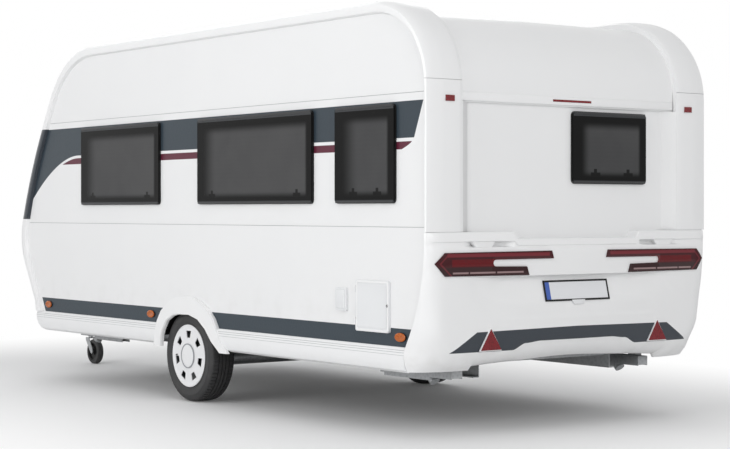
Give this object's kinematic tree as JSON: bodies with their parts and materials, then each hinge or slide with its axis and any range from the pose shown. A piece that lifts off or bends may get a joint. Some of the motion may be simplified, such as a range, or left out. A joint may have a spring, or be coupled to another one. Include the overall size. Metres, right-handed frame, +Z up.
{
  "type": "travel caravan",
  "caption": "Single-axle travel caravan with a streamlined white body, framed windows, side door, front locker, A-frame drawbar with jockey wheel and fold-down corner steadies.",
  "frame": {"origin": "centre of the footprint on the ground, half way along the overall length", "axes": "+X forward to the coupling, +Y to the caravan's left side, +Z up"},
  "size_m": [6.3929, 2.3, 2.55],
  "materials": {
    "underbody": "matt, sealed",
    "body_sheet": "satin, hammered skin on a foam core",
    "body_moulding": "gloss",
    "skirt_aluminium": "satin",
    "black_plastic": "matt",
    "smoked_acrylic": "gloss, dark smoked",
    "blind_fabric": "matt",
    "red_lens": "gloss lens",
    "amber_lens": "gloss lens",
    "plate_white": "satin",
    "hatch_acrylic": "milky, gloss",
    "white_plastic": "satin",
    "galvanised": "galvanised, matt",
    "black_paint": "satin black",
    "tyre_rubber": "matt",
    "wheel_cover": "gloss"
  },
  "bodies": {
    "caravan": {"floor_panel": "underbody", "side_wall_left": "body_sheet", "side_wall_right": "body_sheet", "roof_panel": "body_sheet", "front_wall": "body_moulding", "rear_wall": "body_sheet", "edge_moulding_left": "body_moulding", "edge_moulding_right": "body_moulding", "rear_top_moulding": "body_moulding", "rear_bumper": "body_moulding", "skirt_left": "skirt_aluminium", "skirt_right": "skirt_aluminium", "wheel_arch_left": "body_moulding", "wheel_arch_right": "body_moulding", "wheel_housings": "black_plastic", "window_frames_left": "black_plastic", "window_panes_left": "smoked_acrylic", "window_frames_right": "black_plastic", "window_panes_right": "smoked_acrylic", "window_frames_ends": "black_plastic", "window_panes_ends": "smoked_acrylic", "window_blinds": "blind_fabric", "tail_light_left": "red_lens", "tail_light_right": "red_lens", "marker_lamps": "red_lens", "side_markers": "amber_lens", "reflector_triangles": "red_lens", "number_plate": "plate_white", "roof_hatches": "hatch_acrylic", "side_vents": "white_plastic", "gas_locker_bulkhead": "body_sheet", "chassis_left": "galvanised", "chassis_right": "galvanised", "cross_members": "galvanised", "axle": "galvanised", "overrun_unit": "galvanised", "coupling_head": "black_paint", "handbrake_lever": "black_plastic", "jockey_tube": "galvanised", "steady_bases": "galvanised"},
    "left_road_wheel": {"tyre_left": "tyre_rubber", "wheel_left": "wheel_cover"},
    "right_road_wheel": {"tyre_right": "tyre_rubber", "wheel_right": "wheel_cover"},
    "door": {"entrance_door": "body_sheet", "door_window": "smoked_acrylic"},
    "hatch": {"cassette_hatch": "white_plastic"},
    "front_lid": {"locker_lid": "body_moulding"},
    "leg_front_left": {"steady_leg_front_left": "galvanised"},
    "leg_front_right": {"steady_leg_front_right": "galvanised"},
    "leg_rear_left": {"steady_leg_rear_left": "galvanised"},
    "leg_rear_right": {"steady_leg_rear_right": "galvanised"},
    "link_front_left": {"steady_link_front_left": "galvanised"},
    "link_front_right": {"steady_link_front_right": "galvanised"},
    "link_rear_left": {"steady_link_rear_left": "galvanised"},
    "link_rear_right": {"steady_link_rear_right": "galvanised"},
    "jockey_post": {"jockey_stem": "galvanised"},
    "jockey_caster": {"jockey_fork": "galvanised"},
    "jockey_roller": {"jockey_wheel": "tyre_rubber"}
  },
  "joints": [
    {"name": "left_wheel_spin", "type": "hinge", "parent": "caravan", "child": "left_road_wheel", "pos_m": [-0.482, 1.007, 0.315], "axis": [0, 1, 0], "continuous": true},
    {"name": "right_wheel_spin", "type": "hinge", "parent": "caravan", "child": "right_road_wheel", "pos_m": [-0.482, -1.007, 0.315], "axis": [0, 1, 0], "continuous": true},
    {"name": "door_hinge", "type": "hinge", "parent": "caravan", "child": "door", "pos_m": [0.584, -1.134, 1.37], "axis": [0, 0, 1], "range_deg": [0, 165]},
    {"name": "hatch_hinge", "type": "hinge", "parent": "caravan", "child": "hatch", "pos_m": [-2.46, 1.138, 0.751], "axis": [0, 0, -1], "range_deg": [0, 120]},
    {"name": "front_lid_hinge", "type": "hinge", "parent": "caravan", "child": "front_lid", "pos_m": [2.062, 0, 1.128], "axis": [0, -1, 0], "range_deg": [0, 85]},
    {"name": "leg_front_left_fold", "type": "hinge", "parent": "caravan", "child": "leg_front_left", "pos_m": [1, 0.771, 0.345], "axis": [0, 1, 0], "range_deg": [0, 43.5]},
    {"name": "link_front_left_fold", "type": "hinge", "parent": "leg_front_left", "child": "link_front_left", "pos_m": [1.19, 0.771, 0.345], "axis": [0, 1, 0], "range_deg": [-87, 0]},
    {"name": "leg_front_right_fold", "type": "hinge", "parent": "caravan", "child": "leg_front_right", "pos_m": [1, -0.771, 0.345], "axis": [0, 1, 0], "range_deg": [0, 43.5]},
    {"name": "link_front_right_fold", "type": "hinge", "parent": "leg_front_right", "child": "link_front_right", "pos_m": [1.19, -0.771, 0.345], "axis": [0, 1, 0], "range_deg": [-87, 0]},
    {"name": "leg_rear_left_fold", "type": "hinge", "parent": "caravan", "child": "leg_rear_left", "pos_m": [-2.32, 0.771, 0.345], "axis": [0, -1, 0], "range_deg": [0, 43.5]},
    {"name": "link_rear_left_fold", "type": "hinge", "parent": "leg_rear_left", "child": "link_rear_left", "pos_m": [-2.51, 0.771, 0.345], "axis": [0, -1, 0], "range_deg": [-87, 0]},
    {"name": "leg_rear_right_fold", "type": "hinge", "parent": "caravan", "child": "leg_rear_right", "pos_m": [-2.32, -0.771, 0.345], "axis": [0, -1, 0], "range_deg": [0, 43.5]},
    {"name": "link_rear_right_fold", "type": "hinge", "parent": "leg_rear_right", "child": "link_rear_right", "pos_m": [-2.51, -0.771, 0.345], "axis": [0, -1, 0], "range_deg": [-87, 0]},
    {"name": "jockey_lift", "type": "slide", "parent": "caravan", "child": "jockey_post", "axis": [0, 0, 1], "range_m": [0, 0.09]},
    {"name": "jockey_swivel", "type": "hinge", "parent": "jockey_post", "child": "jockey_caster", "pos_m": [2.645, 0.193, 0.216], "axis": [0, 0, 1], "continuous": true},
    {"name": "jockey_wheel_spin", "type": "hinge", "parent": "jockey_caster", "child": "jockey_roller", "pos_m": [2.565, 0.193, 0.104], "axis": [0, 1, 0], "continuous": true}
  ],
  "couplings": [
    {"joint": "link_front_left_fold", "follows": "leg_front_left_fold", "ratio": -2},
    {"joint": "link_front_right_fold", "follows": "leg_front_right_fold", "ratio": -2},
    {"joint": "link_rear_left_fold", "follows": "leg_rear_left_fold", "ratio": -2},
    {"joint": "link_rear_right_fold", "follows": "leg_rear_right_fold", "ratio": -2}
  ]
}
